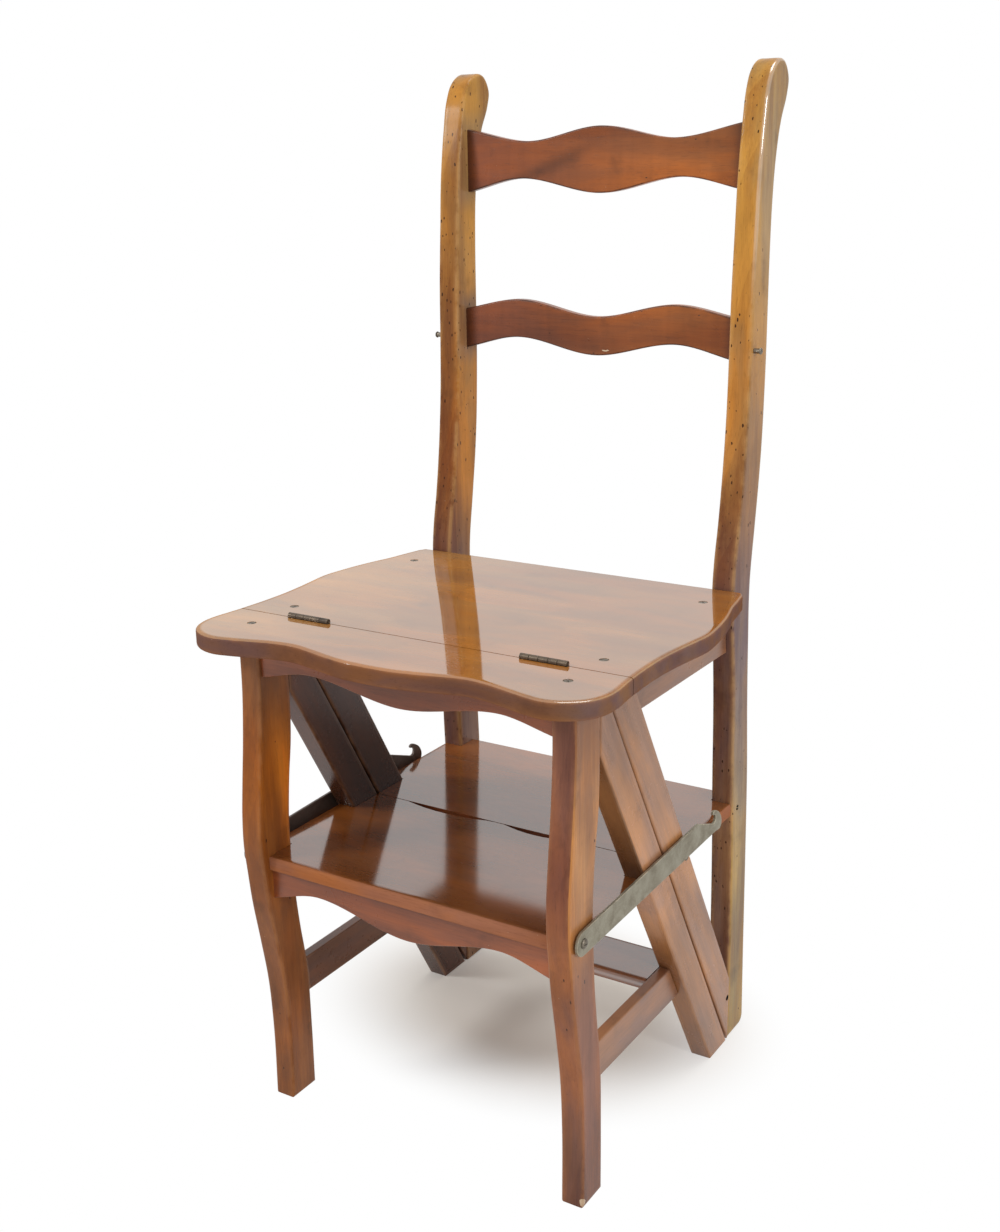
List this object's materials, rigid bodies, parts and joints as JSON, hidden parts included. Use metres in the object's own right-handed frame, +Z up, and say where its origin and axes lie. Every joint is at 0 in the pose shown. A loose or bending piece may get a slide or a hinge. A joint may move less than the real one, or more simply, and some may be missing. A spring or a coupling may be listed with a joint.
{
  "type": "library step chair",
  "caption": "Wooden side chair whose rear half turns over its seat hinges to make library steps, with hook bars that lock the halves.",
  "frame": {"origin": "centre of the chair's box, on the floor", "axes": "+Z up, the sitter faces -Y, X across the chair"},
  "size_m": [0.385, 0.4098, 0.8894],
  "materials": {
    "wood_upright": "polished honey-brown, worn edges",
    "wood_frame": "polished red-brown",
    "wood_top": "glossy polished red-brown",
    "bar_metal": "dull, tarnished",
    "fitting_metal": "dark, tarnished"
  },
  "bodies": {
    "front_half": {"seat_front_strip": "wood_top", "seat_apron": "wood_frame", "mid_tread_front": "wood_top", "mid_tread_apron": "wood_frame", "low_tread": "wood_top", "front_leg_left": "wood_upright", "front_leg_right": "wood_upright", "front_stile_left": "wood_frame", "front_stile_right": "wood_frame", "low_rail_left": "wood_frame", "low_rail_right": "wood_frame", "hinge_leaf_front_left": "fitting_metal", "hinge_leaf_front_right": "fitting_metal", "hinge_pin_left": "fitting_metal", "hinge_pin_right": "fitting_metal", "seat_screw_front_left": "fitting_metal", "seat_screw_front_right": "fitting_metal", "bar_washer_left": "fitting_metal", "bar_washer_right": "fitting_metal", "bar_pivot_screw_left": "fitting_metal", "bar_pivot_screw_right": "fitting_metal"},
    "rear_half": {"seat_rear_panel": "wood_top", "seat_back_rail": "wood_frame", "mid_tread_rear": "wood_top", "crest_slat": "wood_frame", "lower_slat": "wood_frame", "back_post_left": "wood_upright", "back_post_right": "wood_upright", "rear_stile_left": "wood_frame", "rear_stile_right": "wood_frame", "seat_side_rail_left": "wood_frame", "seat_side_rail_right": "wood_frame", "hinge_leaf_rear_left": "fitting_metal", "hinge_leaf_rear_right": "fitting_metal", "seat_screw_middle_left": "fitting_metal", "seat_screw_middle_right": "fitting_metal", "seat_screw_rear_left": "fitting_metal", "seat_screw_rear_right": "fitting_metal", "hook_stud_left": "fitting_metal", "hook_stud_right": "fitting_metal", "bar_rest_pin_left": "fitting_metal", "bar_rest_pin_right": "fitting_metal", "post_screw_left": "fitting_metal", "post_screw_right": "fitting_metal", "foot_nail_left": "fitting_metal", "foot_nail_right": "fitting_metal"},
    "bar_left": {"hook_bar_left": "bar_metal"},
    "bar_right": {"hook_bar_right": "bar_metal"}
  },
  "joints": [
    {"name": "fold", "type": "hinge", "parent": "front_half", "child": "rear_half", "pos_m": [0, -0.1297, 0.4515], "axis": [1, 0, 0], "range_deg": [0, 182]},
    {"name": "hook_left", "type": "hinge", "parent": "front_half", "child": "bar_left", "pos_m": [-0.16255, -0.1607, 0.243], "axis": [-1, 0, 0], "range_deg": [-35, 181.1]},
    {"name": "hook_right", "type": "hinge", "parent": "front_half", "child": "bar_right", "pos_m": [0.16255, -0.1607, 0.243], "axis": [-1, 0, 0], "range_deg": [-35, 181.1]}
  ]
}
